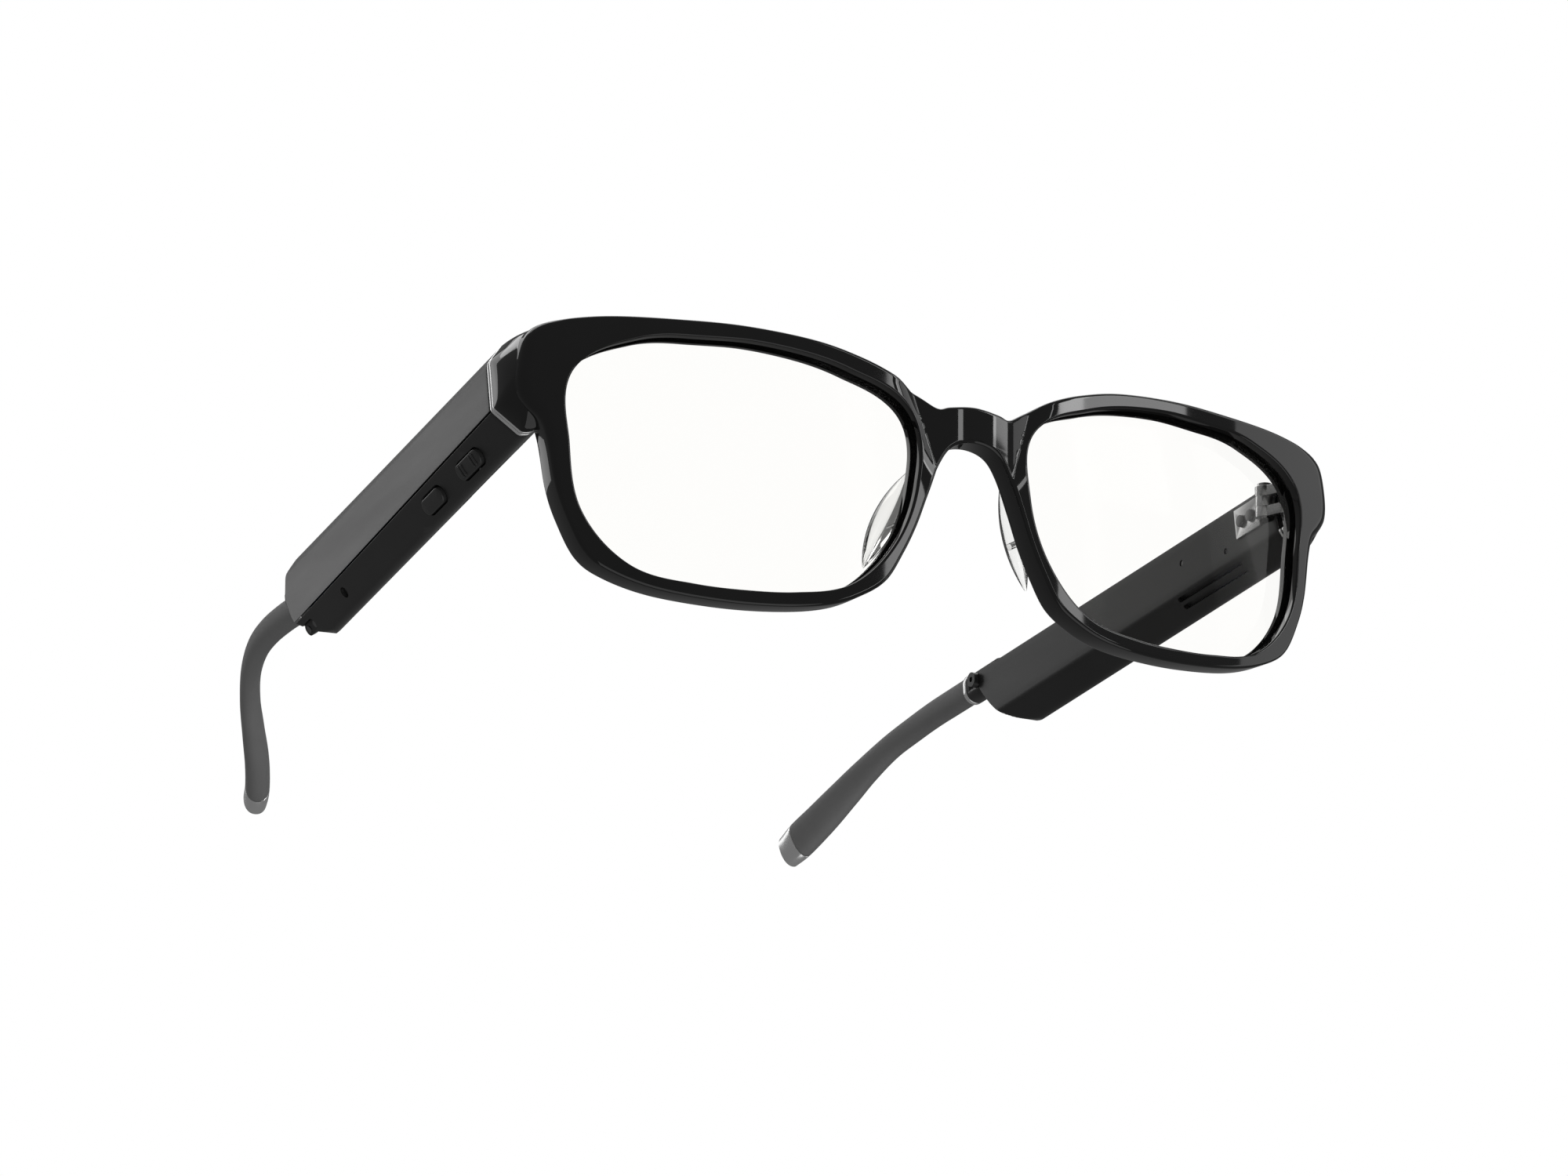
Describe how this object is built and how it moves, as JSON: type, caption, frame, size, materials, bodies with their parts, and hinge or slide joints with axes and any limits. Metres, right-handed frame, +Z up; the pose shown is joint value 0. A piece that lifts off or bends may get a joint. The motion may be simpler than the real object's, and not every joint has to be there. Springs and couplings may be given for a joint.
{
  "type": "smart glasses",
  "caption": "Full-rim glasses with clear lenses and thick folding arms that hold speakers, batteries and buttons, with curved soft ear tips.",
  "frame": {"origin": "on the table under the middle of the glasses, with the arms open and the rims and ear tips resting on it", "axes": "+X to the wearer's left, +Y back along the arms, +Z up"},
  "size_m": [0.137, 0.1678, 0.0404],
  "materials": {
    "frame_acetate": "polished black acetate",
    "lens": "clear, hard-coated",
    "nose_pad": "clear soft pad",
    "hinge_metal": "nickel-plated",
    "bright_trim": "polished",
    "screw_steel": "plain steel",
    "housing": "satin charcoal",
    "cover": "satin charcoal",
    "gasket": "matt black",
    "battery_wrap": "foil pouch",
    "circuit_board": "solder mask",
    "speaker_body": "moulded",
    "fine_mesh": "black woven mesh",
    "tip_rubber": "matt grey",
    "wire_steel": "plain steel",
    "light_pipe": "smoked clear",
    "sensor_window": "smoked",
    "buttons": "satin charcoal",
    "switch_metal": "dome",
    "contact_metal": "dark plated",
    "contact_carrier": "moulded black"
  },
  "bodies": {
    "front": {"front_frame": "frame_acetate", "left_lens": "lens", "right_lens": "lens", "left_nose_pad": "nose_pad", "right_nose_pad": "nose_pad", "left_front_leaf": "hinge_metal", "right_front_leaf": "hinge_metal", "left_front_plate": "bright_trim", "right_front_plate": "bright_trim", "left_hinge_pin": "hinge_metal", "right_hinge_pin": "hinge_metal"},
    "left_arm": {"left_arm_leaf": "hinge_metal", "left_arm_screws": "hinge_metal", "left_arm_plate": "bright_trim", "left_housing": "housing", "left_cover": "cover", "left_gasket": "gasket", "left_battery": "battery_wrap", "left_board": "circuit_board", "left_speaker": "speaker_body", "left_grille": "fine_mesh", "left_port_mesh": "fine_mesh", "left_tip_ring": "bright_trim", "left_ear_tip": "tip_rubber", "left_core_wire": "wire_steel", "left_tip_cap": "bright_trim", "left_tip_screw": "screw_steel", "left_washer": "bright_trim", "status_light": "light_pipe", "wear_sensor": "sensor_window"},
    "right_arm": {"right_arm_leaf": "hinge_metal", "right_arm_screws": "hinge_metal", "right_arm_plate": "bright_trim", "right_housing": "housing", "right_cover": "cover", "right_gasket": "gasket", "right_battery": "battery_wrap", "right_board": "circuit_board", "right_speaker": "speaker_body", "right_grille": "fine_mesh", "right_port_mesh": "fine_mesh", "right_tip_ring": "bright_trim", "right_ear_tip": "tip_rubber", "right_core_wire": "wire_steel", "right_tip_cap": "bright_trim", "right_tip_screw": "screw_steel", "right_washer": "bright_trim", "rocker_pin": "hinge_metal", "rocker_switches": "switch_metal", "button_switch": "switch_metal", "charging_contacts": "contact_metal", "contact_carrier": "contact_carrier"},
    "rocker": {"volume_rocker": "buttons"},
    "button": {"action_button": "buttons"}
  },
  "joints": [
    {"name": "left_arm_fold", "type": "hinge", "parent": "front", "child": "left_arm", "pos_m": [0.0603, -0.06905, 0.03143], "axis": [0, -0.0422, 0.9991], "range_deg": [0, 91]},
    {"name": "right_arm_fold", "type": "hinge", "parent": "front", "child": "right_arm", "pos_m": [-0.0603, -0.06905, 0.03143], "axis": [0, 0.0422, -0.9991], "range_deg": [0, 76]},
    {"name": "rocker_tilt", "type": "hinge", "parent": "right_arm", "child": "rocker", "pos_m": [-0.06568, -0.05597, 0.02345], "axis": [0.5692, -0.0799, -0.8183], "range_deg": [-3, 3], "stiffness_Nm_per_rad": 0.02},
    {"name": "button_press", "type": "slide", "parent": "right_arm", "child": "button", "axis": [0.8222, 0.0553, 0.5665], "range_m": [0, 0.0003], "stiffness_N_per_m": 300}
  ]
}
